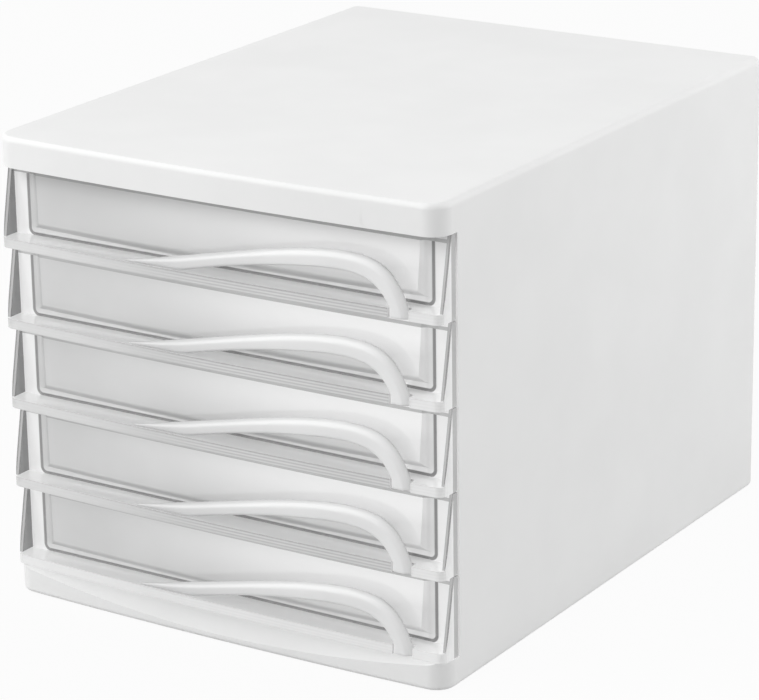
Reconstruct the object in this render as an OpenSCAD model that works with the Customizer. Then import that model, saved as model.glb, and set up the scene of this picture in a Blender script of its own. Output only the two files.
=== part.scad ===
// Desktop drawer tower for A4 papers: a white casing with a bowed front band
// and base lip, and five clear trays whose fronts carry a wave-shaped handle.
// Millimetres. X runs across, -Y is the front, Z is up, and the origin lies
// on the table under the middle of the object.

/* [Casing] */
// Width over the side walls
casing_w = 265; // [230:1:340]
// Depth from the front band to the back wall
casing_d = 340; // [310:1:420]
// Height from the table to the top
casing_h = 250; // [220:1:400]
// Thickness of the moulded walls
wall = 2.5; // [2:0.1:3.5]
// Height of the front band that hangs from the cover
fascia_h = 17; // [13:0.5:30]
// Height of the base at the side walls
base_h = 16; // [14:0.5:30]
// How far the front band and the base lip stand in front of the side walls
overhang = 17.6; // [16:0.1:26]
// Width of the side walls' front flanges
flange_w = 11; // [8:0.5:20]
// How far the front bows forward at its middle
bow = 3; // [1:0.5:5]
// Radius of the upright front corners
corner_r = 11; // [7:0.5:16]
// Radius of the upright back corners
rear_r = 5; // [4:0.5:10]
// Rounding along the top edges of the cover
edge_r = 4; // [1:0.5:4]
// Rounding along the bottom edges of the base
sole_r = 2.5; // [0.5:0.5:4]
// Depth of the sloping strip along the front of the cover
strip_w = 22; // [15:0.5:40]
// Fall of that strip towards the front
strip_fall = 1; // [0.2:0.1:2]
// Height of the cover's rim on the side walls
rim_h = 8; // [6:0.5:12]

/* [Base lip] */
// Depth of the finger scoop in the lip, at the front
scoop_drop = 11; // [4:0.5:12]
// Width of the circle that the scoop is part of, level with the lip's top
scoop_w = 290; // [200:5:400]

/* [Feet] */
// Diameter of a rubber foot
foot_d = 14; // [8:0.5:24]
// How far a foot stands below the base
foot_proud = 1; // [0.5:0.1:4]
// Depth of a foot's socket
foot_socket = 4; // [2:0.5:6]
// Distance of a foot's axis from the side wall, and from the front and back
foot_inset = 24; // [18:1:50]

/* [Trays] */
// Thickness of a tray's walls and floor
tray_wall = 2; // [1.2:0.1:3]
// Radius of a tray's lower edges and back corners
tray_r = 4; // [3.5:0.5:10]
// Height of a tray's floor above the bottom of its level
tray_lift = 5.4; // [4.5:0.1:9]
// Free height between a tray's rim and the next level
tray_headroom = 3.6; // [2:0.1:12]
// Free depth behind the trays
rear_room = 18; // [12:1:40]
// How far a drawer slides out before its lugs stop it
travel = 250; // [100:1:255]
// Length of a stop lug
lug_l = 12; // [6:0.5:20]
// How far a stop lug stands out of the tray's side
lug_out = 3.5; // [2:0.1:5]
// How far a runner reaches under a tray
runner_hold = 9; // [5:0.5:20]
// Thickness of a runner
runner_t = 2.2; // [1.6:0.1:3]

/* [Drawer fronts] */
// Thickness of the clear mouldings
front_t = 2.2; // [1.5:0.1:3]
// Height of the ledge along the bottom of a front
ledge_h = 5.2; // [4:0.1:7]
// Upright corner radius of a ledge
ledge_r = 5; // [4:0.5:10]
// How far an end cheek stands out at its top
cheek_top = 1.5; // [0.5:0.1:6]
// How far an end cheek stands out at its foot
cheek_foot = 9; // [6:0.1:13]
// How far the window bulges at its ends, low down
bulge_low = 2.5; // [1:0.1:3]
// How far the window bulges at its ends, at the top
bulge_top = 1.5; // [0.5:0.1:2.4]
// Further bulge at the middle of the window
bulge_bow = 1.5; // [0.5:0.1:2]
// Width of the bulge's soft flanks
flank_w = 9; // [4:0.5:20]

/* [Handle] */
// Length from the tail of the wave to its leg
handle_l = 164; // [140:1:170]
// Distance of the leg from the end of the front
leg_inset = 19.5; // [14:0.5:30]
// Width of the leg
leg_w = 9.5; // [6:0.5:14]
// Length of the finger gap
gap_l = 121; // [90:1:130]
// Distance of the wave's crest from the leg
crest_back = 36; // [25:1:50]
// Height of the crest over the ledge
arch_h = 24; // [18:0.5:28]
// Height of the finger gap over the ledge
gap_h = 14.5; // [9:0.5:17]
// Depth of the handle, front to back
handle_t = 4.5; // [3:0.1:5]

/* [Clearances] */
// Gap between two drawer fronts, one above the other
front_gap = 0.8; // [0.4:0.1:2]
// Gap between a drawer front and the casing behind it
shut_gap = 0.6; // [0.3:0.1:2]
// How far a drawer front stays inside the casing's sides
end_gap = 0.5; // [0.2:0.1:2]
// Gap between a tray's side and the casing's front flange
side_gap = 0.5; // [0.3:0.1:2]
// Gap between a tray and the runner under it
run_gap = 0.3; // [0.2:0.1:1]
// Gap between parts that plug together
fit_gap = 0.2; // [0.1:0.05:0.4]

/* [Hidden] */
$fn = 48;
BIG_FN = 900; // segments of the very large, shallow arcs
STEPS = 12;   // straight pieces of a soft step
BOW_STEPS = 24;    // and of the casing's bow
CORNER_STEPS = 8;  // and of an upright corner
EDGE_STEPS = 6;    // and of a rounded edge
EPS = 0.01;   // overlap that joins two shapes
CUT = 1;      // how far a cut reaches past the faces it opens
MIN_R = 0.4;  // smallest corner radius

DRAWERS = 5;
half_w = casing_w / 2;
front_y = -casing_d / 2;
back_y = casing_d / 2;
wall_y = front_y + overhang;    // front edge of the side walls
fascia_z = casing_h - fascia_h; // underside of the front band
rim_z = casing_h - rim_h;       // joint of cover and walls
pitch = (fascia_z - base_h) / DRAWERS;

// Radius of a shallow arc, from half its chord and its rise
function arc_r(half, rise) = (half * half + rise * rise) / (2 * rise);
bow_r = arc_r(half_w, bow);

// casing details
WALL_RETURN = 12;               // how far a side wall turns onto the back
TONGUE_H = 5;                   // tongue inside a joint of the casing
TONGUE_T = 2;
TONGUE_RISE = 2;                // and how far its root climbs inside the wall
TONGUE_START = 4;               // tongues start this far behind the front flange
TONGUE_CLEAR = 1;               // room between the back wall and the cover's tongue
DECK_DROP = 3;                  // the base's deck lies below its rim
BACK_LAP = 5;                   // overlap of the back wall and the returns
RECESS_DEPTH = 0.8;             // shallow panel in the back wall
RECESS_INSET = 12;
RECESS_R = 8;
RIB_H = 4;
COVER_RIBS = 4;
BAND_RIBS = 5;
BASE_RIBS_X = 3;
BASE_RIBS_Y = 4;
BAND_RIB_LIFT = 2;              // ribs end this far over the front band's underside
GUSSET_H = 5;
GUSSET_SETBACK = 1;             // gussets start this far outside the opening
GUSSETS = 5;
RUNNER_START = 1;               // runners start this far behind the front flange
RUNNER_END = 8;                 // and end this far before the back wall
RIB_SHARE = 0.6;                // a rib is thin enough not to mark the wall it stands on
rib_t = wall * RIB_SHARE;
deck_z = base_h - DECK_DROP;
opening_half = half_w - flange_w;
tongue_y = wall_y + wall + TONGUE_START;
runner_y0 = wall_y + wall + RUNNER_START;
runner_y1 = back_y - wall - TONGUE_T - RUNNER_END;

// drawer parts are drawn with z = 0 at the bottom of their level
LEDGE_SETBACK = 0.4;            // the ledge stands just behind the front band
LEDGE_TOP_T = 1.8;
FRONT_TONGUE = 6;               // how far a front plugs into its tray
FRONT_TONGUE_T = 1.5;
FRONT_TONGUE_DROP = 2;          // its ends stop this far under the tray's rim
BULGE_FOOT = 6;                 // height over which the window falls back to the flange
BULGE_REACH = 12;               // depth of the turned shape that gives the window its bow
LUG_Z = 4;                      // a lug's height over the tray's underside
LUG_H = 10;
front_half = half_w - end_gap;
front_z0 = front_gap / 2;
front_z1 = pitch - front_gap / 2;
ledge_y = front_y + LEDGE_SETBACK;
ledge_z = front_z0 + ledge_h;
flange_y1 = wall_y - shut_gap;  // back of a front's flange
flange_y0 = flange_y1 - front_t;
tray_half = opening_half - side_gap;
tray_z0 = tray_lift;
tray_z1 = pitch - tray_headroom;
tray_y0 = flange_y1 + fit_gap;
tray_y1 = back_y - rear_room;
lug_y = wall_y + wall + travel + run_gap;
window_half = tray_half - tray_wall;

// handle
LEG_SPLAY = 1.5;                // how much the leg widens on its way down
TAIL_PART = 0.225;              // share of the rise that lies on the ledge
TAIL_T = 0.35;                  // depth of the tail's end, as a share of the handle's
SEAT_GAP = 0.1;                 // gap between handle and ledge
TAIL_TIP = 0.8;                 // height of the tail's tip
RISE_BEND = [0.32, 0.42];       // where the rise bends: shares of length and height
CREST_PULL = [0.19, 0.12];      // straightness of the crest, towards tail and leg
SHOULDER = [0.045, 0.83];       // shoulder: shares of length, in from the leg, and height
GAP_BEND = [0.25, 0.52];        // the same for the finger gap's edge: its start,
GAP_PULL = [0.23, 0.107];       // its crest
GAP_SHOULDER = [0.045, 0.72];   // and its shoulder
leg_x = front_half - leg_inset;
tail_x = leg_x - handle_l;
gap_x1 = leg_x - leg_w;
gap_x0 = gap_x1 - gap_l;
crest_x = leg_x - crest_back;

// Bottom of a drawer's level; drawer 1 is the top one
function level_z(drawer) = base_h + (DRAWERS - drawer) * pitch;

CASING_WHITE = [0.93, 0.93, 0.92];
CLEAR = [0.82, 0.85, 0.86, 0.55];
FROSTED = [0.90, 0.91, 0.91];
RUBBER = [0.25, 0.25, 0.26];

// ---- general shapes ----

// A block from corner a to corner b
module block(a, b) {
    translate(a)
        cube(b - a);
}

// Extrudes a Y-Z outline along X, from x0 to x1
module along_x(x0, x1) {
    translate([x0, 0, 0])
        rotate([90, 0, 90])
            linear_extrude(x1 - x0)
                children();
}

// Extrudes an X-Z outline along Y, from y0 to y1
module along_y(y0, y1) {
    translate([0, y1, 0])
        rotate([90, 0, 0])
            linear_extrude(y1 - y0)
                children();
}

// Both mirror images of a shape across the middle plane
module both_sides() {
    children();
    mirror([1, 0, 0])
        children();
}

// Rectangle from a to b with round corners
module rounded_rect(a, b, r) {
    for (x = [a.x + r, b.x - r], y = [a.y + r, b.y - r])
        translate([x, y])
            circle(r);
    translate([a.x + r, a.y])
        square([b.x - a.x - 2 * r, b.y - a.y]);
    translate([a.x, a.y + r])
        square([b.x - a.x, b.y - a.y - 2 * r]);
}

// Where a front corner's centre sits so that it touches the bow and the side
function corner_y(half, y0, big, r) = y0 + big - sqrt(pow(big - r, 2) - pow(half - r, 2));

// Direction of the point where bow and corner touch, seen from the bow's centre
function bow_angle(half, big, r) = asin((half - r) / (big - r));

// Points of an arc about c from angle a to angle b, in n steps
function arc(c, r, a, b, n, skip = 0) = [
    for (i = [skip:n])
        let (angle = a + (b - a) * i / n)
            c + r * [cos(angle), sin(angle)]
];

// Plan outline with a bowed front and four round corners. big is the radius
// of the bow, so an inset outline with big less the inset runs parallel.
function bowed_points(half, y0, y1, big, r_front, r_rear) =
    let (cy = corner_y(half, y0, big, r_front),
         turn = bow_angle(half, big, r_front),
         x_front = half - r_front,
         x_rear = half - r_rear)
        concat(
            arc([0, y0 + big], big, -90 - turn, -90 + turn, BOW_STEPS, 1),
            arc([x_front, cy], r_front, -90 + turn, 0, CORNER_STEPS, 1),
            arc([x_rear, y1 - r_rear], r_rear, 0, 90, CORNER_STEPS),
            arc([-x_rear, y1 - r_rear], r_rear, 90, 180, CORNER_STEPS),
            arc([-x_front, cy], r_front, 180, 270 - turn, CORNER_STEPS)
        );

module bowed_outline(half, y0, y1, big, r_front, r_rear) {
    polygon(bowed_points(half, y0, y1, big, r_front, r_rear));
}

// The bowed outline as a plate whose whole upper edge is rounded
module bowed_plate(half, y0, y1, big, r_front, r_rear, h, round_r) {
    hull()
        for (i = [0:EDGE_STEPS]) {
            inset = round_r * (1 - cos(90 * i / EDGE_STEPS));
            linear_extrude(h - round_r + round_r * sin(90 * i / EDGE_STEPS))
                bowed_outline(half - inset, y0 + inset, y1 - inset, big - inset,
                              r_front - inset, r_rear - inset);
        }
}

// Plan of the casing behind its front edge, inset by a distance
module rear_outline(inset) {
    r = max(rear_r - inset, MIN_R);
    half = half_w - inset;
    end = back_y - inset;
    polygon(concat(
        [[-half, wall_y], [half, wall_y]],
        arc([half - r, end - r], r, 0, 90, CORNER_STEPS),
        arc([r - half, end - r], r, 90, 180, CORNER_STEPS)
    ));
}

// The part of a plan that lies between two depths
module plan_between(y0, y1) {
    intersection() {
        children();
        translate([-casing_w, y0])
            square([2 * casing_w, y1 - y0]);
    }
}

// ---- casing ----

// The cover with its front band and the ribs and tongue under it
module top_cover() {
    roof = casing_h - wall;
    color(CASING_WHITE)
        union() {
            difference() {
                translate([0, 0, fascia_z])
                    bowed_plate(half_w, front_y, back_y, bow_r, corner_r, rear_r, fascia_h, edge_r);
                cover_slope();
                translate([0, 0, fascia_z - CUT])
                    linear_extrude(roof - strip_fall - fascia_z + CUT)
                        plan_between(front_y, wall_y - wall)
                            bowed_outline(half_w - wall, front_y + wall, back_y,
                                          bow_r - wall, corner_r - wall, rear_r);
                translate([0, 0, fascia_z - CUT])
                    linear_extrude(roof - fascia_z + CUT)
                        rear_outline(wall);
                block([-half_w - CUT, wall_y, fascia_z - CUT], [half_w + CUT, back_y + CUT, rim_z]);
            }
            cover_ribs(roof);
            cover_tongue(roof);
        }
}

// Wedge above the gently falling band along the front of the cover
module cover_slope() {
    y = front_y + strip_w;
    drop_at_front = strip_fall * (strip_w + CUT) / strip_w;
    along_x(-half_w - CUT, half_w + CUT)
        polygon([
            [y, casing_h],
            [y, casing_h + CUT],
            [front_y - CUT, casing_h + CUT],
            [front_y - CUT, casing_h - drop_at_front]
        ]);
}

module cover_ribs(roof) {
    bay = (back_y - wall_y) / (COVER_RIBS + 1);
    for (i = [1:COVER_RIBS])
        block([wall - half_w, wall_y + i * bay, roof - RIB_H],
              [half_w - wall, wall_y + i * bay + rib_t, roof + EPS]);
    for (i = [1:BAND_RIBS]) {
        x = -half_w + i * casing_w / (BAND_RIBS + 1);
        block([x - rib_t / 2, front_y + wall / 2, fascia_z + BAND_RIB_LIFT],
              [x + rib_t / 2, wall_y - wall + EPS, roof - strip_fall + EPS]);
    }
}

// Rim that locates the cover inside the side and back walls
module cover_tongue(roof) {
    translate([0, 0, rim_z])
        linear_extrude(roof - rim_z + EPS)
            plan_between(tongue_y, back_y)
                difference() {
                    rear_outline(wall - EPS);
                    rear_outline(wall + TONGUE_T);
                }
    translate([0, 0, rim_z - TONGUE_H])
        linear_extrude(TONGUE_H)
            plan_between(tongue_y, back_y)
                difference() {
                    rear_outline(wall + fit_gap / 2);
                    rear_outline(wall + TONGUE_T);
                }
}

// A side wall: its skin, its front flange, its return onto the back and the
// tongue that drops into the base. side is 1 on the right, -1 on the left.
module side_wall(side) {
    inner_x = half_w - wall;
    color(CASING_WHITE)
        mirror([side > 0 ? 0 : 1, 0, 0]) {
            translate([0, 0, base_h])
                linear_extrude(rim_z - base_h)
                    intersection() {
                        difference() {
                            rear_outline(0);
                            rear_outline(wall);
                            translate([-inner_x, wall_y - CUT])
                                square([2 * inner_x, 2 * CUT]);
                        }
                        union() {
                            translate([inner_x - EPS, wall_y])
                                square([wall + CUT, casing_d]);
                            translate([half_w - WALL_RETURN, back_y - rear_r - wall])
                                square([WALL_RETURN + CUT, rear_r + wall + CUT]);
                        }
                    }
            block([opening_half, wall_y, base_h], [half_w, wall_y + wall, rim_z]);
            block([inner_x - TONGUE_T, tongue_y, deck_z + fit_gap], [inner_x, runner_y1, base_h]);
            block([inner_x - TONGUE_T, tongue_y, base_h - EPS],
                  [inner_x + EPS, runner_y1, base_h + TONGUE_RISE]);
        }
}

module left_wall() {
    side_wall(-1);
}

module right_wall() {
    side_wall(1);
}

// The back wall: a panel with a shallow recess, and an inner layer whose edges
// lie behind the returns of the side walls and inside the base
module back_wall() {
    half = half_w - WALL_RETURN;
    color(CASING_WHITE)
        difference() {
            union() {
                block([-half, back_y - wall, base_h], [half, back_y, rim_z]);
                block([-half - BACK_LAP, back_y - wall - TONGUE_T, deck_z + fit_gap],
                      [half + BACK_LAP, back_y - wall, rim_z - TONGUE_H - TONGUE_CLEAR]);
            }
            along_y(back_y - RECESS_DEPTH, back_y + CUT)
                rounded_rect([RECESS_INSET - half, base_h + RECESS_INSET],
                             [half - RECESS_INSET, rim_z - RECESS_INSET], RECESS_R);
        }
}

// The base: a ribbed deck inside a rim, with a lip in front whose top is
// scooped out below the lowest drawer
module base() {
    color(CASING_WHITE)
        difference() {
            union() {
                difference() {
                    translate([0, 0, base_h])
                        mirror([0, 0, 1])
                            bowed_plate(half_w, front_y, back_y, bow_r, corner_r, rear_r,
                                        base_h - foot_proud, sole_r);
                    translate([0, 0, deck_z])
                        linear_extrude(base_h)
                            plan_between(wall_y + wall, back_y)
                                rear_outline(wall - fit_gap / 2);
                    linear_extrude(deck_z - wall)
                        plan_between(wall_y + wall, back_y)
                            rear_outline(wall);
                    lip_hollow();
                }
                base_ribs();
                for (at = foot_places())
                    translate([at.x, at.y, foot_proud])
                        cylinder(d = foot_d + 2 * wall, h = deck_z - wall - foot_proud + EPS);
            }
            scoop(0);
            for (at = foot_places())
                translate([at.x, at.y, 0])
                    cylinder(d = foot_d + fit_gap, h = foot_proud + foot_socket);
        }
}

// Where the feet stand
function foot_places() = [
    for (x = [-1, 1], y = [wall_y + foot_inset, back_y - foot_inset])
        [x * (half_w - foot_inset), y]
];

function scoop_tilt() = atan(scoop_drop / overhang);

// Large tilted cylinder that scoops the lip, lowered by a distance
module scoop(lowered) {
    tilt = scoop_tilt();
    r = arc_r(scoop_w / 2, scoop_drop * cos(tilt));
    translate([0, wall_y, base_h - lowered])
        rotate([tilt, 0, 0])
            translate([0, 0, r])
                rotate([90, 0, 0])
                    cylinder(r = r, h = 4 * overhang, center = true, $fn = BIG_FN);
}

// Space inside the lip, open below, one wall under the scoop
module lip_hollow() {
    difference() {
        linear_extrude(base_h - wall)
            plan_between(front_y, wall_y)
                bowed_outline(half_w - wall, front_y + wall, back_y,
                              bow_r - wall, corner_r - wall, rear_r);
        scoop(wall / cos(scoop_tilt()));
    }
}

module base_ribs() {
    under = deck_z - wall;
    bay_x = casing_w / (BASE_RIBS_X + 1);
    bay_y = (back_y - wall_y) / (BASE_RIBS_Y + 1);
    for (i = [1:BASE_RIBS_X])
        block([i * bay_x - half_w - rib_t / 2, wall_y + wall - EPS, under - RIB_H],
              [i * bay_x - half_w + rib_t / 2, back_y - wall + EPS, under + EPS]);
    for (i = [1:BASE_RIBS_Y])
        block([wall - half_w - EPS, wall_y + i * bay_y, under - RIB_H],
              [half_w - wall + EPS, wall_y + i * bay_y + rib_t, under + EPS]);
}

// The rails that carry the trays, one a level, with gussets under them. The
// lowest rail lies close over the deck and has none.
module runners(side) {
    inner_x = half_w - wall;
    tip_x = tray_half - runner_hold;
    color(CASING_WHITE)
        mirror([side > 0 ? 0 : 1, 0, 0])
            for (drawer = [1:DRAWERS]) {
                top = level_z(drawer) + tray_z0 - run_gap;
                block([tip_x, runner_y0, top - runner_t], [inner_x, runner_y1, top]);
                if (drawer < DRAWERS)
                    for (i = [1:GUSSETS]) {
                        y = runner_y0 + i * (runner_y1 - runner_y0) / (GUSSETS + 1);
                        along_y(y, y + rib_t)
                            polygon([
                                [opening_half + GUSSET_SETBACK, top - runner_t],
                                [inner_x, top - runner_t - GUSSET_H],
                                [inner_x, top - runner_t]
                            ]);
                    }
            }
}

module left_runners() {
    runners(-1);
}

module right_runners() {
    runners(1);
}

module rubber_feet() {
    color(RUBBER)
        for (at = foot_places())
            translate([at.x, at.y, 0])
                cylinder(d = foot_d, h = foot_proud + foot_socket);
}

// ---- drawers ----

// Section of a tray with its lower corners rounded, inset by a distance
module tray_section(inset, top) {
    r = max(tray_r - inset, MIN_R);
    half = tray_half - inset;
    z = tray_z0 + inset;
    for (side = [-1, 1])
        translate([side * (half - r), z + r])
            circle(r);
    translate([r - half, z])
        square([2 * (half - r), top - z]);
    translate([-half, z + r])
        square([2 * half, top - z - r]);
}

// The room a tray takes, inset by a distance; its front end stays open
module tray_body(inset, y0, top) {
    y1 = tray_y1 - inset;
    r = max(tray_r - inset, MIN_R);
    half = tray_half - inset;
    intersection() {
        along_y(y0, y1)
            tray_section(inset, top);
        linear_extrude(casing_h) {
            translate([-half, y0])
                square([2 * half, y1 - r - y0]);
            translate([r - half, y0])
                square([2 * (half - r), y1 - y0]);
            for (side = [-1, 1])
                translate([side * (half - r), y1 - r])
                    circle(r);
        }
    }
}

// A tray with its stop lugs, whose square fronts meet the casing's flanges
// when the drawer is open and whose sloping backs let it be pushed in
module tray(drawer) {
    color(CLEAR)
        translate([0, 0, level_z(drawer)]) {
            difference() {
                tray_body(0, tray_y0, tray_z1);
                tray_body(tray_wall, tray_y0 - CUT, tray_z1 + CUT);
            }
            both_sides()
                translate([tray_half - EPS, lug_y, tray_z0 + LUG_Z])
                    linear_extrude(LUG_H)
                        polygon([[0, 0], [lug_out, 0], [lug_out, lug_l / 3], [0, lug_l]]);
        }
}

// Smooth step from 0 to 1, cut into straight pieces
function ease(t) = (1 - cos(180 * t)) / 2;

// The window's bulge: a bowed, slightly leaning face whose soft flanks and
// foot fall back to the flange. The same shape, inset, hollows it.
module bulge(inset) {
    half = window_half - inset;
    z0 = tray_z0 + tray_wall + inset;
    z1 = front_z1 - inset;
    foot = BULGE_FOOT;
    big = arc_r(window_half, bulge_bow);
    face_y = flange_y0 + inset;
    back = flange_y1 + (inset > 0 ? CUT : 0);
    deep = bulge_low + bulge_bow;
    intersection() {
        translate([0, flange_y0 - bulge_bow + big, 0])
            rotate([0, 0, -90])
                rotate_extrude(angle = 360, $fn = BIG_FN)
                    polygon(concat(
                        [[big - BULGE_REACH, z0]],
                        [for (i = [0:STEPS])
                            [big - inset - bulge_bow + deep * ease(i / STEPS), z0 + foot * i / STEPS]],
                        [[big - inset + bulge_top, z1], [big - BULGE_REACH, z1]]
                    ));
        linear_extrude(pitch)
            polygon(concat(
                [[half, back], [-half, back]],
                [for (i = [0:STEPS])
                    [flank_w * i / STEPS - half, face_y - deep * ease(i / STEPS)]],
                [for (i = [STEPS:-1:0])
                    [half - flank_w * i / STEPS, face_y - deep * ease(i / STEPS)]]
            ));
    }
}

// A drawer front: a flange that covers the casing's edges, a ledge with a
// lip, sloping end cheeks, the window, and a tongue that plugs into the tray
module front(drawer) {
    color(CLEAR)
        translate([0, 0, level_z(drawer)])
            difference() {
                union() {
                    difference() {
                        front_envelope();
                        block([front_t - front_half, front_y - CUT, ledge_z],
                              [front_half - front_t, flange_y0, front_z1 + CUT]);
                        ledge_hollow();
                    }
                    bulge(0);
                    front_tongue();
                }
                bulge(front_t);
                leg_notch();
            }
}

// The space a front fills, cheeks and ledge included
module front_envelope() {
    intersection() {
        translate([0, 0, front_z0])
            linear_extrude(front_z1 - front_z0)
                bowed_outline(front_half, ledge_y, flange_y1, bow_r, ledge_r, MIN_R);
        along_x(-front_half, front_half)
            polygon([
                [flange_y1, front_z0],
                [flange_y1, front_z1],
                [flange_y0 - cheek_top, front_z1],
                [flange_y0 - cheek_foot, ledge_z],
                [front_y, ledge_z],
                [front_y, front_z0]
            ]);
    }
}

// Space under the ledge, behind its lip
module ledge_hollow() {
    linear_extrude(ledge_z - LEDGE_TOP_T)
        plan_between(front_y, flange_y0)
            bowed_outline(front_half - front_t, ledge_y + front_t, flange_y1,
                          bow_r - front_t, ledge_r - front_t, MIN_R);
}

// Rim that plugs into the tray's open front
module front_tongue() {
    along_y(flange_y1 - EPS, flange_y1 + FRONT_TONGUE)
        difference() {
            tray_section(tray_wall + fit_gap, tray_z1 - FRONT_TONGUE_DROP);
            tray_section(tray_wall + fit_gap + FRONT_TONGUE_T, tray_z1);
        }
}

// Slot in the ledge for the handle's leg
module leg_notch() {
    y = ledge_front(leg_x);
    block([gap_x1 - fit_gap, front_y - CUT, front_z0 - CUT],
          [leg_x + LEG_SPLAY + fit_gap, y + handle_t + fit_gap, ledge_z + CUT]);
}

// Face of the ledge at a given x
function ledge_front(x) = ledge_y + bow_r - sqrt(bow_r * bow_r - x * x);

// Cubic curve through a and d, pulled towards b and c
function cubic(a, b, c, d, t) =
    pow(1 - t, 3) * a + 3 * pow(1 - t, 2) * t * b + 3 * (1 - t) * t * t * c + t * t * t * d;

// The upper edge of the handle, as [x, z] over the ledge; t runs from the
// tail (0) over the crest (1) to the leg (2)
function upper_edge(t) =
    t <= 1
        ? [cubic(tail_x, tail_x + handle_l * RISE_BEND[0], crest_x - handle_l * CREST_PULL[0], crest_x, t),
           cubic(TAIL_TIP, arch_h * RISE_BEND[1], arch_h, arch_h, t)]
        : [cubic(crest_x, crest_x + handle_l * CREST_PULL[1], leg_x - handle_l * SHOULDER[0], leg_x, t - 1),
           cubic(arch_h, arch_h, arch_h * SHOULDER[1], 0, t - 1)];

// The lower edge: along the ledge under the tail, then round the finger gap
function lower_edge(t) =
    t <= TAIL_PART ? [upper_edge(t).x, SEAT_GAP]
    : t <= 1 ? gap_rise((t - TAIL_PART) / (1 - TAIL_PART))
    : [cubic(crest_x, crest_x + gap_l * GAP_PULL[1], gap_x1 - gap_l * GAP_SHOULDER[0], gap_x1, t - 1),
       cubic(gap_h, gap_h, gap_h * GAP_SHOULDER[1], 0, t - 1)];

function gap_rise(s) = [
    cubic(gap_x0, gap_x0 + gap_l * GAP_BEND[0], crest_x - gap_l * GAP_PULL[0], crest_x, s),
    cubic(SEAT_GAP, gap_h * GAP_BEND[1], gap_h, gap_h, s)
];

// Depth of the handle: thin at the tail, full from the finger gap on
function depth(t) = handle_t * (TAIL_T + (1 - TAIL_T) * ease(min(1, t / TAIL_PART)));

// One ring of points: [height from -1 to 1, depth from 0 to 1] round the bar,
// with a slanting face along its upper front
RING = [
    [-1, 0.3], [-0.88, 0.06], [0.3, 0], [0.75, 0.25], [1, 0.62],
    [0.98, 0.88], [0.85, 1], [-0.88, 1], [-1, 0.85]
];

function ring(upper, lower, deep) = [
    for (p = RING)
        let (x = (upper.x + lower.x + p.x * (upper.x - lower.x)) / 2,
             z = (upper.y + lower.y + p.x * (upper.y - lower.y)) / 2)
            [x, ledge_front(x) + p.y * deep, ledge_z + z]
];

// A handle: a bar that rises from the ledge in a long wave, arches over the
// finger gap and comes down in a leg that stands in the ledge's slot
module handle(drawer) {
    rise = 2 * STEPS;
    rings = concat(
        [for (i = [0:2 * rise])
            let (t = i / rise)
                ring(upper_edge(t), lower_edge(t), depth(t))],
        [ring([leg_x + LEG_SPLAY, -ledge_h], [gap_x1, -ledge_h], handle_t)]
    );
    sides = len(RING);
    last = (len(rings) - 1) * sides;
    color(FROSTED)
        translate([0, 0, level_z(drawer)])
            polyhedron(
                points = [for (r = rings, p = r) p],
                faces = concat(
                    [for (i = [1:sides - 2]) [0, i, i + 1]],
                    [for (j = [0:len(rings) - 2], i = [0:sides - 1])
                        let (a = j * sides + i, b = j * sides + (i + 1) % sides)
                            each [[a, a + sides, b + sides], [a, b + sides, b]]],
                    [for (i = [1:sides - 2]) [last, last + i + 1, last + i]]
                )
            );
}

top_cover();
left_wall();
right_wall();
back_wall();
base();
left_runners();
right_runners();
rubber_feet();
tray(1);  // tray_1
tray(2);  // tray_2
tray(3);  // tray_3
tray(4);  // tray_4
tray(5);  // tray_5
front(1);  // front_1
front(2);  // front_2
front(3);  // front_3
front(4);  // front_4
front(5);  // front_5
handle(1);  // handle_1
handle(2);  // handle_2
handle(3);  // handle_3
handle(4);  // handle_4
handle(5);  // handle_5
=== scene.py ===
# %% [markdown]
# # A clear-fronted drawer tower for A4 papers
# The construction comes ready made from the CAD frame, so this lesson is about looks:
# white moulded plastic, clear plastic that is tinted at its edges and hazy in its faces,
# frosted handles, and the plain bright studio in which such a tower is shown.

from math import cos, radians, sin, tau

import bpy
from mathutils import Matrix, Vector


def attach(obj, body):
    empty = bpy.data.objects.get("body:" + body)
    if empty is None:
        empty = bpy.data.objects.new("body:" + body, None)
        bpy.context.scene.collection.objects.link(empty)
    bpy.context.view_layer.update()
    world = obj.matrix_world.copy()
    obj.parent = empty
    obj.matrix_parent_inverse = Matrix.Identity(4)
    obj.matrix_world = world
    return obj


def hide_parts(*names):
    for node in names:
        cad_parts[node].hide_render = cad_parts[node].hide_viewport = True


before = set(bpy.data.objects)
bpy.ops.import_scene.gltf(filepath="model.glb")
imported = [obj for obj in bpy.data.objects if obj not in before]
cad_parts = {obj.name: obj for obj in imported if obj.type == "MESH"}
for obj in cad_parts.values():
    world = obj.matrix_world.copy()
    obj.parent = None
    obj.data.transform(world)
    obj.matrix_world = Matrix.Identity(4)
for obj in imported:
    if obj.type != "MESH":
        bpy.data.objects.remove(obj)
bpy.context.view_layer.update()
MM = 0.001
DRAWERS = (1, 2, 3, 4, 5)
print("nodes:", len(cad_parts))

# %% [markdown]
# ## The camera
# The photograph was taken from the right and from above with a long lens. Its view
# was found by fitting the casing's corners, which gave the angles, the focal length
# in pixels and the place. A lens of about 160 mm on a 36 mm sensor gives the same
# mild perspective.

# %% The camera
VIEW_AZIMUTH = radians(32.70)
VIEW_HEIGHT = radians(18.53)
VIEW_ROLL = radians(-0.84)
FOCAL_PIXELS = 3360.1
PICTURE_WIDTH = 759
SENSOR = 36.0
PLACE_RIGHT, PLACE_UP, PLACE_BACK = -9.7 * MM, 102.4 * MM, 1842.9 * MM
FARTHEST_SEEN = 20

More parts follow.
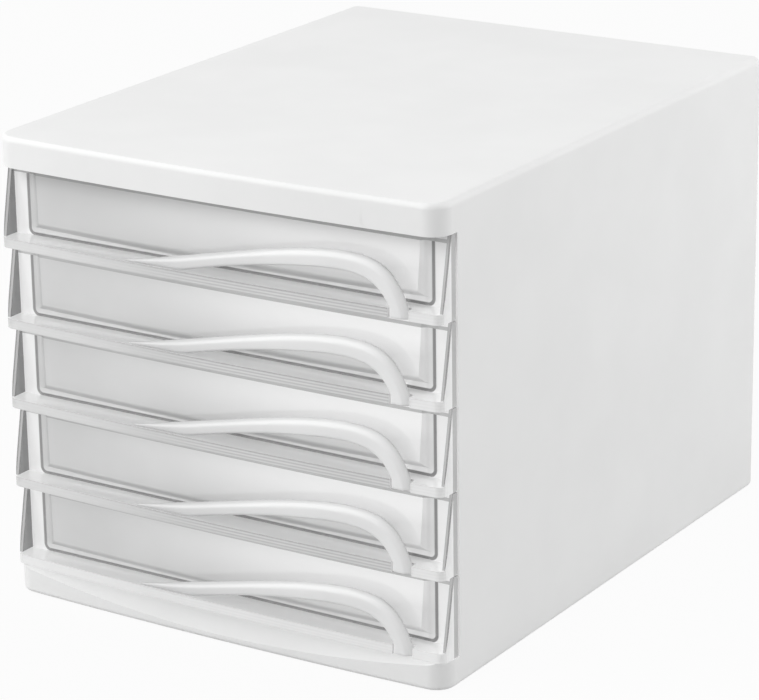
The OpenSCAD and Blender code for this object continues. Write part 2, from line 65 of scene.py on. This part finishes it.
level_back = Vector((sin(VIEW_AZIMUTH), -cos(VIEW_AZIMUTH), 0))
back = cos(VIEW_HEIGHT) * level_back + sin(VIEW_HEIGHT) * Vector((0, 0, 1))
level_right = Vector((0, 0, 1)).cross(back).normalized()
level_up = back.cross(level_right)
right = cos(VIEW_ROLL) * level_right + sin(VIEW_ROLL) * level_up
up = -sin(VIEW_ROLL) * level_right + cos(VIEW_ROLL) * level_up
place = PLACE_RIGHT * right + PLACE_UP * up + PLACE_BACK * back
turn = Matrix((right, up, back)).transposed().to_4x4()

camera_data = bpy.data.cameras.new("view_camera")
camera = bpy.data.objects.new("view_camera", camera_data)
bpy.context.scene.collection.objects.link(camera)
camera_data.sensor_width = SENSOR
camera_data.lens = FOCAL_PIXELS / PICTURE_WIDTH * SENSOR
camera_data.clip_end = FARTHEST_SEEN
camera.matrix_world = Matrix.Translation(place) @ turn
bpy.context.scene.camera = camera
print("camera at", [round(v, 3) for v in place], "lens", round(camera_data.lens, 1))

# %% [markdown]
# ## A helper for finishes
# Every finish here is one Principled shader. Noise on Object coordinates varies its
# colour and roughness slightly and gives a fine bump, as no moulding is perfectly even.

# %% A helper for finishes
CLOUD_SCALE = 18
CLOUD_DETAIL = 3
GRAIN_DETAIL = 2
RAMP_ENDS = (0.35, 0.65)
RELIEF_DEPTH = 0.2 * MM


def finish(name, low, high, rough, grain, bump, **sockets):
    """One Principled material.

    Its colour runs from low to high and its roughness over rough. grain is the scale of
    its fine bump and bump the strength. sockets are other inputs of the shader.
    """
    made = bpy.data.materials.new(name)
    made.use_nodes = True
    tree = made.node_tree
    shader = tree.nodes["Principled BSDF"]
    where = tree.nodes.new("ShaderNodeTexCoord")
    cloud = tree.nodes.new("ShaderNodeTexNoise")
    cloud.inputs["Scale"].default_value = CLOUD_SCALE
    cloud.inputs["Detail"].default_value = CLOUD_DETAIL
    tint = tree.nodes.new("ShaderNodeValToRGB")
    for end, position, colour in zip(tint.color_ramp.elements, RAMP_ENDS, (low, high)):
        end.position = position
        end.color = (*colour, 1)
    spread = tree.nodes.new("ShaderNodeMapRange")
    spread.inputs["To Min"].default_value = rough[0]
    spread.inputs["To Max"].default_value = rough[1]
    fine = tree.nodes.new("ShaderNodeTexNoise")
    fine.inputs["Scale"].default_value = grain
    fine.inputs["Detail"].default_value = GRAIN_DETAIL
    relief = tree.nodes.new("ShaderNodeBump")
    relief.inputs["Strength"].default_value = bump
    relief.inputs["Distance"].default_value = RELIEF_DEPTH
    link = tree.links.new
    link(where.outputs["Object"], cloud.inputs["Vector"])
    link(where.outputs["Object"], fine.inputs["Vector"])
    link(cloud.outputs["Fac"], tint.inputs["Fac"])
    link(cloud.outputs["Fac"], spread.inputs["Value"])
    link(tint.outputs["Color"], shader.inputs["Base Color"])
    link(spread.outputs["Result"], shader.inputs["Roughness"])
    link(fine.outputs["Fac"], relief.inputs["Height"])
    link(relief.outputs["Normal"], shader.inputs["Normal"])
    for socket, value in sockets.items():
        shader.inputs[socket.replace("_", " ")].default_value = value
    print("finish", name)
    return made


def dress(node, made):
    """Gives a CAD node one finish."""
    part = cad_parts[node]
    part.data.materials.clear()
    part.data.materials.append(made)


# %% [markdown]
# ## White casing
# The casing is opaque white plastic with a satin, faintly grained skin. Grain of a
# millimetre or less is too fine to model, so a weak bump stands for it.

# %% White casing
casing_white = finish(
    "casing_white", (0.835, 0.837, 0.835), (0.86, 0.862, 0.86), (0.42, 0.5), 1500, 0.12)
for node in ("left_runners", "right_runners"):
    dress(node, casing_white)

# %% [markdown]
# ## Working on a copy of a CAD node
# A CAD node's mesh stays as it is. Where a piece needs softened edges or several
# finishes, a copy is made, its loose triangles are merged, and the copy stands for the
# node. All that was selected is deselected first, so an operator acts on the copy alone.

# %% Working on a copy of a CAD node
SAME_POINT = 0.002 * MM


def only(piece):
    """Makes piece the one selected and active object."""
    bpy.ops.object.select_all(action="DESELECT")
    piece.select_set(True)
    bpy.context.view_layer.objects.active = piece


def merged_copy(node, name, flat=0.05):
    """A copy of a CAD node with joined triangles; faces within flat degrees become one."""
    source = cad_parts[node]
    piece = bpy.data.objects.new(name, source.data.copy())
    bpy.context.scene.collection.objects.link(piece)
    only(piece)
    bpy.ops.object.mode_set(mode="EDIT")
    bpy.ops.mesh.select_all(action="SELECT")
    bpy.ops.mesh.customdata_custom_splitnormals_clear()
    bpy.ops.mesh.remove_doubles(threshold=SAME_POINT)
    bpy.ops.mesh.dissolve_limited(angle_limit=radians(flat))
    bpy.ops.object.mode_set(mode="OBJECT")
    piece.data.materials.clear()
    print(name, len(piece.data.vertices), "points", len(piece.data.polygons), "faces")
    return piece


def shade(piece, angle=32):
    """Shades smooth below angle, in degrees; large flat faces keep their direction."""
    only(piece)
    bpy.ops.object.shade_smooth_by_angle(angle=radians(angle))
    weigh = piece.modifiers.new("flat faces stay flat", "WEIGHTED_NORMAL")
    weigh.keep_sharp = True
    bpy.ops.object.modifier_apply(modifier=weigh.name)


def soften(piece, width, angle=30):
    """Rounds the edges sharper than angle, in degrees, and shades the piece."""
    only(piece)
    bevel = piece.modifiers.new("soft edges", "BEVEL")
    bevel.width = width
    bevel.segments = 2
    bevel.limit_method = "ANGLE"
    bevel.angle_limit = radians(angle)
    bevel.use_clamp_overlap = True
    bpy.ops.object.modifier_apply(modifier=bevel.name)
    shade(piece)
    print(piece.name, "softened to", len(piece.data.polygons), "faces")


# %% [markdown]
# ## Soft edges on the casing
# Moulded edges are never knife-sharp: a small radius catches a thin line of light. The
# outside parts of the casing get it on merged copies. It is kept so small that the
# joints between the parts stay as tight as they look on the real casing. Two ribs
# inside the cover end a tenth of a millimetre in front of its bowed band, which no
# moulding would show, so their ends are first laid flush with it.

# %% Soft edges on the casing
CASING_EDGE = 0.1 * MM
CASING_EDGE_ANGLE = 40
RIB_SIDES = (87.0 * MM, 90.0 * MM)
RIB_END = -168.7 * MM
NEAR_RIB_END = -168.5 * MM
SAME_END = 0.06 * MM
BAND_FRONT = -170.0 * MM
BOW_RADIUS = 2927.5 * MM


def draw_back_rib_ends(cover):
    """Lays the front ends of the two outer ribs flush with the bowed band."""
    only(cover)
    drawn = 0
    for point in cover.data.vertices:
        at = point.co
        point.select = RIB_SIDES[0] < abs(at.x) < RIB_SIDES[1] and at.y < NEAR_RIB_END
        if point.select and at.y < RIB_END:
            at.y = BAND_FRONT + BOW_RADIUS - (BOW_RADIUS ** 2 - at.x ** 2) ** 0.5
            drawn += 1
    for other in (*cover.data.edges, *cover.data.polygons):
        other.select = False
    bpy.ops.object.mode_set(mode="EDIT")
    bpy.ops.mesh.select_mode(type="VERT")
    bpy.ops.mesh.remove_doubles(threshold=SAME_END)
    bpy.ops.object.mode_set(mode="OBJECT")
    print("rib ends drawn back:", drawn, "points")


for node in ("top_cover", "left_wall", "right_wall", "back_wall", "base"):
    shell = merged_copy(node, f"casing_{node}")
    shell.data.materials.append(casing_white)
    if node == "top_cover":
        draw_back_rib_ends(shell)
    soften(shell, CASING_EDGE, CASING_EDGE_ANGLE)
    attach(shell, "casing")
    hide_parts(node)

# %% [markdown]
# ## Rubber feet
# Dark rubber is dull and a little dusty, so it is nearly black and very rough.

# %% Rubber feet
foot_rubber = finish(
    "foot_rubber", (0.02, 0.02, 0.02), (0.035, 0.035, 0.035), (0.7, 0.85), 1200, 0.3)
dress("rubber_feet", foot_rubber)

# %% [markdown]
# ## Clear plastic
# A clear moulding lets light through its faces, shows a pale haze where it is thick,
# and looks grey where it is seen edge-on, because light is led along it. Real
# refraction would need many light bounces through five stacked trays, so alpha is used:
# some of what lies behind shows through, and the edges, the cheeks and the lip get
# greyer or paler finishes of their own. Their greys are painted shade: the grey of an
# edge seen edge-on, the shadow under the part above and the dark gaps behind them.
# The trays and the faces get their alpha below.

# %% Clear plastic
STYRENE_IOR = 1.58
FROSTED_IOR = 1.5
CLEAR_SHINE = 0.8
CLEAR_BUMP = 0.02

clear_plastic = finish(
    "clear_plastic", (0.93, 0.932, 0.932), (0.96, 0.962, 0.962), (0.06, 0.12), 400, CLEAR_BUMP,
    Alpha=0.86, IOR=STYRENE_IOR, Specular_IOR_Level=CLEAR_SHINE)
tray_plastic = finish(
    "tray_plastic", (0.82, 0.822, 0.822), (0.86, 0.862, 0.862), (0.06, 0.12), 400, CLEAR_BUMP,
    IOR=STYRENE_IOR)
# painted shade: the grey of edges seen edge-on and of the shadow under the part above
shaded_edge_plastic = finish(
    "shaded_edge_plastic", (0.45, 0.451, 0.451), (0.51, 0.511, 0.511), (0.1, 0.18), 400, CLEAR_BUMP,
    Alpha=0.85, IOR=STYRENE_IOR, Specular_IOR_Level=CLEAR_SHINE)
# painted shade: a cheek is painted dark, for its inside seen edge-on through it
shaded_cheek_plastic = finish(
    "shaded_cheek_plastic", (0.22, 0.221, 0.221), (0.28, 0.281, 0.281), (0.1, 0.18), 400, CLEAR_BUMP,
    Alpha=0.7, IOR=STYRENE_IOR, Specular_IOR_Level=CLEAR_SHINE)
# painted shade: the window's grey stands for the dim inside of the drawer; its painted
# highlight comes below
face_plastic = finish(
    "face_plastic", (0.64, 0.642, 0.642), (0.68, 0.682, 0.682), (0.1, 0.15), 300, CLEAR_BUMP,
    IOR=STYRENE_IOR, Specular_IOR_Level=CLEAR_SHINE)
ledge_plastic = finish(
    "ledge_plastic", (0.95, 0.952, 0.952), (0.98, 0.981, 0.981), (0.08, 0.14), 300, CLEAR_BUMP,
    Alpha=0.92, IOR=STYRENE_IOR, Specular_IOR_Level=CLEAR_SHINE)
# painted shade: the lip's grey is toned in below, for the dark gap behind it
lip_plastic = finish(
    "lip_plastic", (0.9, 0.902, 0.902), (0.94, 0.942, 0.942), (0.08, 0.14), 300, CLEAR_BUMP,
    Alpha=0.75, IOR=STYRENE_IOR, Specular_IOR_Level=CLEAR_SHINE)
frosted_plastic = finish(
    "frosted_plastic", (0.84, 0.842, 0.842), (0.87, 0.872, 0.872), (0.29, 0.36), 900, 0.05,
    IOR=FROSTED_IOR)
for k in DRAWERS:
    dress(f"tray_{k}", tray_plastic)

# %% [markdown]
# ## Places on a drawer, for the finishes
# The drawers repeat at one pitch, so the height over a drawer's own level is what is
# left of the height when whole pitches are taken away. Small helpers keep the node
# trees short: one adds a Math node, one turns a range into a smooth 0 to 1.

# %% Places on a drawer, for the finishes
BASE_HEIGHT = 16.0 * MM
PITCH = 43.4 * MM


def add_math(tree, operation, *operands):
    """A Math node; an operand is a socket or a number."""
    made = tree.nodes.new("ShaderNodeMath")
    made.operation = operation
    for place_in, operand in zip(made.inputs, operands):
        if isinstance(operand, (int, float)):
            place_in.default_value = operand
        else:
            tree.links.new(operand, place_in)
    return made.outputs[0]


def span(tree, value, low, high, to_low=0.0, to_high=1.0):
    """to_low at low, to_high at high, and a smooth change between them."""
    made = tree.nodes.new("ShaderNodeMapRange")
    made.interpolation_type = "SMOOTHSTEP"
    limits = {"From Min": low, "From Max": high, "To Min": to_low, "To Max": to_high}
    for name, number in limits.items():
        made.inputs[name].default_value = number
    tree.links.new(value, made.inputs["Value"])
    return made.outputs["Result"]


def coordinates(tree):
    """The sockets X, Y and Z of a point's place, in metres."""
    axes = tree.nodes.new("ShaderNodeSeparateXYZ")
    where = tree.nodes["Texture Coordinate"]
    tree.links.new(where.outputs["Object"], axes.inputs["Vector"])
    return axes.outputs


def height_on_drawer(tree, z):
    """The height over the drawer's own level, from the height z."""
    over_base = add_math(tree, "SUBTRACT", z, BASE_HEIGHT)
    levels = add_math(tree, "DIVIDE", over_base, PITCH)
    return add_math(tree, "MULTIPLY", add_math(tree, "FRACT", levels), PITCH)


def tone(tree, grey, share):
    """Mixes the finish's colour with a darker or paler grey, by a share."""
    shader = tree.nodes["Principled BSDF"]
    before = shader.inputs["Base Color"].links[0].from_socket
    blend = tree.nodes.new("ShaderNodeMix")
    blend.data_type = "RGBA"
    colours = [place_in for place_in in blend.inputs if place_in.type == "RGBA"]
    colours[1].default_value = (grey, grey, grey, 1)
    tree.links.new(share, blend.inputs["Factor"])
    tree.links.new(before, colours[0])
    result = [place_out for place_out in blend.outputs if place_out.type == "RGBA"][0]
    tree.links.new(result, shader.inputs["Base Color"])


# %% [markdown]
# ## The trays
# A tray's walls and floor are clearer than the fronts. Its rim is painted greyer, as
# painted shade for a clear rim seen edge-on, and that line shows where the walls are
# when a drawer stands open.

# %% The trays
TRAY_RIM = (38.3 * MM, 39.2 * MM)
TRAY_ALPHAS = (0.3, 0.8)
TRAY_RIM_SHADE_GREY = 0.4


def link_alpha(tree, alpha):
    """Lets a socket drive the finish's alpha."""
    tree.links.new(alpha, tree.nodes["Principled BSDF"].inputs["Alpha"])


tree = tray_plastic.node_tree
height = height_on_drawer(tree, coordinates(tree)["Z"])
rim = span(tree, height, *TRAY_RIM)
link_alpha(tree, span(tree, rim, 0, 1, *TRAY_ALPHAS))
# painted shade: the rim is toned grey
tone(tree, TRAY_RIM_SHADE_GREY, rim)
print("tray alpha, from its walls to its rim:", TRAY_ALPHAS)

# %% [markdown]
# ## The face of a drawer front
# The window's colour is painted light and shade, the same on every drawer. It is grey at
# the lower left, painted shade for the dim inside of the drawer seen through it, and white
# at the upper right, a painted highlight where the bulge catches the light; there it is
# also less see-through. A darker band on the right flank is painted shade of the bulge's
# side, a paler zone beside the handle's leg is painted light that lifts the leg's shadow,
# and the foot is painted lighter, lifting the shade of the handle's tail. Round it runs
# the joint with the tray, a dark line with rounded lower corners. The flange outside that
# line is pale. One finish holds all three, so the line can be as smooth as on the real
# front: its distance from the corner's middle is worked out, and where this equals the
# corner's radius the colour turns dark.

# %% The face of a drawer front
HIGHLIGHT_ACROSS = (-110 * MM, 95 * MM)
HIGHLIGHT_UPWARD = (6 * MM, 35 * MM)
LEG_ZONE = (84 * MM, 104 * MM)
PAINTED_LEG_LIGHT = 0.65
FLANK = (115.5 * MM, 117.5 * MM)
FLANK_SHADE_FACTOR = 0.45
FACE_ALPHAS = (0.88, 1.0)
PAINTED_HIGHLIGHT_GREY = 1.0
FOOT_ZONE = (6 * MM, 13 * MM)
FOOT_SHARE = 0.5
PAINTED_FOOT_LIGHT = 0.9
FLANGE_GREY = 0.95
JOINT_HALF = 121.0 * MM
JOINT_FOOT = 6.3 * MM
JOINT_RADIUS = 3.2 * MM
LINE_CORE = 0.6 * MM
LINE_EDGE = 1.2 * MM
LINE_GREY = 0.2

tree = face_plastic.node_tree
axes = coordinates(tree)
x, height = axes["X"], height_on_drawer(tree, axes["Z"])
# painted highlight: whiter and less see-through toward the upper right
across = span(tree, x, *HIGHLIGHT_ACROSS)
upward = span(tree, height, *HIGHLIGHT_UPWARD)
# painted light beside the handle's leg, where its shadow falls
past_leg = span(tree, x, *LEG_ZONE, 0, PAINTED_LEG_LIGHT)
# painted shade on the bulge's right flank
shaded_flank = span(tree, x, *FLANK, 1, FLANK_SHADE_FACTOR)
haze_and_highlight = add_math(tree, "MAXIMUM", add_math(tree, "MULTIPLY", across, upward), past_leg)
haze_and_highlight = add_math(tree, "MULTIPLY", haze_and_highlight, shaded_flank)
link_alpha(tree, span(tree, haze_and_highlight, 0, 1, *FACE_ALPHAS))
tone(tree, PAINTED_HIGHLIGHT_GREY, haze_and_highlight)
# painted light on the window's foot, lifting the shade of the handle's tail
tone(tree, PAINTED_FOOT_LIGHT, span(tree, height, *FOOT_ZONE, FOOT_SHARE, 0))

aside = add_math(tree, "SUBTRACT", add_math(tree, "ABSOLUTE", x), JOINT_HALF - JOINT_RADIUS)
below = add_math(tree, "SUBTRACT", JOINT_FOOT + JOINT_RADIUS, height)
ways = [add_math(tree, "MAXIMUM", way, 0.0) for way in (aside, below)]
squares = [add_math(tree, "POWER", way, 2.0) for way in ways]
reach = add_math(tree, "SQRT", add_math(tree, "ADD", *squares))
beyond = add_math(tree, "SUBTRACT", reach, JOINT_RADIUS)
from_line = add_math(tree, "ABSOLUTE", beyond)
tone(tree, FLANGE_GREY, span(tree, beyond, 0, LINE_EDGE))
tone(tree, LINE_GREY, span(tree, from_line, LINE_CORE, LINE_EDGE, 1, 0))
print("window alphas", FACE_ALPHAS, "joint line", 2 * LINE_EDGE / MM, "mm wide")

# %% [markdown]
# ## Painted shade on the handle's thin end
# The long tapering end of a handle is painted greyer than its arch: painted shade, which
# tones down the lamp light falling on it. The painted shade falls off along the handle.

# %% The handle's thin end
SHADED_TIP_PART = (-75 * MM, 60 * MM)
TIP_SHADE_SHARES = (0.45, 0.05)
TIP_SHADE_GREY = 0.4

tree = frosted_plastic.node_tree
# painted shade toward the handle's tip
tone(tree, TIP_SHADE_GREY, span(tree, coordinates(tree)["X"], *SHADED_TIP_PART, *TIP_SHADE_SHARES))
print("share of grey in the handle, from its tip to the arch:", TIP_SHADE_SHARES)

# %% [markdown]
# ## Light passes through clear plastic
# A clear or frosted moulding looks solid where it is hazy, yet most of the light that
# falls on it goes on to what lies behind. So the alpha is lower for the rays that carry
# light from the lamps and from other surfaces than for a direct look.

# %% Light passes through clear plastic
LIGHT_PASSED = 0.88
FRONT_FINISHES = (
    clear_plastic, face_plastic, shaded_cheek_plastic, ledge_plastic, lip_plastic, shaded_edge_plastic)


def either_ray(tree, first, second):
    """1 for a ray of either kind, 0 for the others."""
    rays = tree.nodes.new("ShaderNodeLightPath")
    return add_math(tree, "MAXIMUM", rays.outputs[first], rays.outputs[second])


def pass_light(made, share):
    """Lets a share of the light through, whatever the alpha is for a direct look."""
    tree = made.node_tree
    alpha = tree.nodes["Principled BSDF"].inputs["Alpha"]
    carries = either_ray(tree, "Is Shadow Ray", "Is Diffuse Ray")
    kept = add_math(tree, "MULTIPLY_ADD", carries, -share, 1.0)
    direct = alpha.links[0].from_socket if alpha.links else alpha.default_value
    link_alpha(tree, add_math(tree, "MULTIPLY", direct, kept))
    print(made.name, "lets", share, "of the light through")


for made in (*FRONT_FINISHES, tray_plastic, frosted_plastic):
    pass_light(made, LIGHT_PASSED)

# %% [markdown]
# ## Shades of the ledge's lip
# The ledge's top is bright. Its lip is painted greyer, more so towards the right: painted
# shade for the dark gap behind it, with fine level lines of painted light where light is
# caught inside it. The painted shade gives way past the handle's leg, and over the base,
# where white plastic lies behind it instead of a dark gap.

# %% Shades of the ledge's lip
LIP_LINES = 1.6 * MM
LINES_ZONE = (-60 * MM, 20 * MM)
LINES_SHARES = (0.02, 0.2)
LIP_ZONE = (-110 * MM, -10 * MM)
LIP_SHARES = (0.45, 0.78)
LIP_SHADE_GREY = 0.4
LEG_SIDE = (112 * MM, 114 * MM)
BASE_LIP = (22 * MM, 26 * MM)
PALE = 0.2

tree = lip_plastic.node_tree
axes = coordinates(tree)
x, height = axes["X"], height_on_drawer(tree, axes["Z"])
# painted light: fine level lines in the lip
ripple = add_math(tree, "SINE", add_math(tree, "MULTIPLY", height, tau / LIP_LINES))
swell = span(tree, x, *LINES_ZONE, *LINES_SHARES)
# painted shade of the dark gap behind the lip, greyer to the right
grey = span(tree, x, *LIP_ZONE, *LIP_SHARES)
lined = add_math(tree, "MULTIPLY_ADD", ripple, swell, grey)
past_leg = span(tree, x, *LEG_SIDE, 1, PALE)
over_base = span(tree, axes["Z"], *BASE_LIP, PALE, 1)
share = add_math(tree, "MULTIPLY", add_math(tree, "MULTIPLY", lined, past_leg), over_base)
tone(tree, LIP_SHADE_GREY, share)
print("lip lines every", LIP_LINES / MM, "mm")

# %% [markdown]
# ## The drawer fronts
# A front is one clear moulding, but its parts catch light differently, and its greys are
# painted shade. A copy of the top front is cut where the finish changes: along both sides
# of the dark line under its upper rim, a painted shadow of the part above, along the
# inside and the rim of the cheeks, and in front of their roots. Every face then gets its
# finish by its place and direction, the edges are softened, and lowered copies dress the
# other four drawers.

# %% The drawer fronts
LEVEL = BASE_HEIGHT + (len(DRAWERS) - 1) * PITCH
FLANGE_FACE = -155.2 * MM
CHEEK_INSIDE = 129.8 * MM
LEDGE_TOP = 5.6 * MM
FRONT_TOP = 43.0 * MM
RIM_Z = (38.0 * MM, 39.9 * MM)
CHEEK_RIM = 131.1 * MM
END_FACE = -157.2 * MM
TINY = 0.05 * MM
RIM_DEPTH = 1.0 * MM
FRONT_EDGE = 0.3 * MM
FACING_FRONT = -0.3
FACING_UP = 0.99
LEVEL_FROM = 0.95


def cut(piece, place, direction):
    """Adds an edge loop where a plane crosses the piece."""
    only(piece)
    bpy.ops.object.mode_set(mode="EDIT")
    bpy.ops.mesh.select_all(action="SELECT")
    bpy.ops.mesh.bisect(plane_co=place, plane_no=direction)
    bpy.ops.object.mode_set(mode="OBJECT")


front = merged_copy("front_1", "drawer_front_1")
for at_z in RIM_Z:
    cut(front, (0, 0, LEVEL + at_z), (0, 0, 1))
for side in (-1, 1):
    for at_x in (CHEEK_INSIDE, CHEEK_RIM):
        cut(front, (side * at_x, 0, 0), (1, 0, 0))
cut(front, (0, END_FACE, 0), (0, 1, 0))

CLEAR, FACE, CHEEK, LEDGE, LIP, EDGE = range(len(FRONT_FINISHES))
for made in FRONT_FINISHES:
    front.data.materials.append(made)


def front_finish(at, out):
    """Which finish a face of the front takes, from its middle and its direction."""
    side, high = abs(at.x), at.z - LEVEL
    faces_front = out.y < FACING_FRONT
    if side > CHEEK_INSIDE - TINY and high > LEDGE_TOP + TINY:
        # painted shade: a cheek's inside and outer front are dark, its edges grey
        inside = out.x * at.x < 0
        if inside or faces_front and side > CHEEK_RIM:
            return CHEEK
        return EDGE if faces_front or at.y > END_FACE else CLEAR
    # painted shadow: the band under the upper rim, where the part above shades the front
    if faces_front and RIM_Z[0] < high < RIM_Z[1]:
        return EDGE
    if at.y < FLANGE_FACE - TINY and high < LEDGE_TOP + TINY:
        return LIP if faces_front else LEDGE
    if high > LEDGE_TOP + TINY and abs(out.z) < LEVEL_FROM:
        return FACE
    # painted shade: the top rim, in the shade gap under the part above
    if out.z > FACING_UP and high > FRONT_TOP - RIM_DEPTH:
        return EDGE
    return CLEAR


counts = [0] * len(FRONT_FINISHES)
for face in front.data.polygons:
    face.material_index = front_finish(face.center, face.normal)
    counts[face.material_index] += 1
print("faces of each finish:", counts)
soften(front, FRONT_EDGE)


def on_every_drawer(piece, name, node):
    """The top drawer's piece, and a lowered copy with its own mesh for each other drawer."""
    for k in DRAWERS:
        made = piece
        if k > 1:
            made = bpy.data.objects.new(f"{name}_{k}", piece.data.copy())
            bpy.context.scene.collection.objects.link(made)
            made.data.transform(Matrix.Translation((0, 0, -(k - 1) * PITCH)))
        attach(made, f"drawer_{k}")
        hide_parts(f"{node}_{k}")


on_every_drawer(front, "drawer_front", "front")

# %% [markdown]
# ## The handles
# The handle is a soft, wave-shaped bar. The CAD node has its path and its slanting
# front, in short straight pieces. A merged copy gets an even skin of small faces, which
# is then relaxed, so that the light flows along it without a break.

# %% The handles
HANDLE_FLAT = 0.01
HANDLE_SKIN = 0.7 * MM
FLOW_FACTOR = 0.5
FLOW_ROUNDS = 5

handle = merged_copy("handle_1", "drawer_handle_1", HANDLE_FLAT)
only(handle)
skin = handle.modifiers.new("even skin", "REMESH")
skin.mode = "VOXEL"
skin.voxel_size = HANDLE_SKIN
skin.use_smooth_shade = True
flow = handle.modifiers.new("flow", "SMOOTH")
flow.factor = FLOW_FACTOR
flow.iterations = FLOW_ROUNDS
for modifier in (skin, flow):
    bpy.ops.object.modifier_apply(modifier=modifier.name)
handle.data.materials.append(frosted_plastic)
print("handle faces:", len(handle.data.polygons))
on_every_drawer(handle, "drawer_handle", "handle")

# %% [markdown]
# ## Floor and world
# The floor and the world are white to the camera and in reflections. To other rays the
# floor is a plain pale surface that still takes the tower's shadow.

# %% Floor and world
FLOOR_SIZE = 8
FLOOR_GREY = 0.5
FLOOR_ROUGHNESS = 0.9
FLOOR_GLOW = 0.95
WORLD_LEVEL = 0.52
WHITE = 1.0

bpy.ops.object.select_all(action="DESELECT")
bpy.ops.mesh.primitive_plane_add(size=FLOOR_SIZE, location=(0, 0, 0))
floor = bpy.context.object
floor.name = "floor"
floor_white = bpy.data.materials.new("floor_white")
floor_white.use_nodes = True
tree = floor_white.node_tree
shader = tree.nodes["Principled BSDF"]
shader.inputs["Base Color"].default_value = (FLOOR_GREY, FLOOR_GREY, FLOOR_GREY, 1)
shader.inputs["Roughness"].default_value = FLOOR_ROUGHNESS
glow = tree.nodes.new("ShaderNodeEmission")
blend = tree.nodes.new("ShaderNodeMixShader")
seen = either_ray(tree, "Is Camera Ray", "Is Glossy Ray")
tree.links.new(add_math(tree, "MULTIPLY", seen, FLOOR_GLOW), blend.inputs["Fac"])
tree.links.new(shader.outputs["BSDF"], blend.inputs[1])
tree.links.new(glow.outputs["Emission"], blend.inputs[2])
tree.links.new(blend.outputs["Shader"], tree.nodes["Material Output"].inputs["Surface"])
floor.data.materials.append(floor_white)

world = bpy.data.worlds.new("studio")
bpy.context.scene.world = world
world.use_nodes = True
tree = world.node_tree
sky = tree.nodes["Background"]
sky.inputs["Color"].default_value = (WHITE, WHITE, WHITE, 1)
seen = either_ray(tree, "Is Camera Ray", "Is Glossy Ray")
level = tree.nodes.new("ShaderNodeMapRange")
level.inputs["To Min"].default_value = WORLD_LEVEL
level.inputs["To Max"].default_value = WHITE
tree.links.new(seen, level.inputs["Value"])
tree.links.new(level.outputs["Result"], sky.inputs["Strength"])
print("floor", FLOOR_SIZE, "m wide, world at", WORLD_LEVEL, "except for the camera")

# %% [markdown]
# ## Lamps
# One large soft lamp stands over the tower, one high at its front left and one beside
# its right wall. The front corner between the last two gets the least light, which
# shows its roundness.

# %% Lamps
def lamp(name, at, size, power, aim=(0, 0, 0.12)):
    """A large soft lamp at a place, turned to a point."""
    data = bpy.data.lights.new(name, "AREA")
    data.shape = "RECTANGLE"
    data.size, data.size_y = size
    data.energy = power
    light = bpy.data.objects.new(name, data)
    bpy.context.scene.collection.objects.link(light)
    light.location = at
    light.rotation_euler = (Vector(at) - Vector(aim)).to_track_quat("Z", "Y").to_euler()
    print(name, power, "W")


lamp("top_softbox", (0.0, -0.1, 1.7), (1.4, 1.4), 2.0)
lamp("front_softbox", (-1.2, -1.7, 1.4), (2.6, 1.8), 39.5)
lamp("right_softbox", (1.2, 0.6, 0.6), (1.2, 1.0), 8.4)
bpy.context.scene.view_settings.view_transform = "Standard"
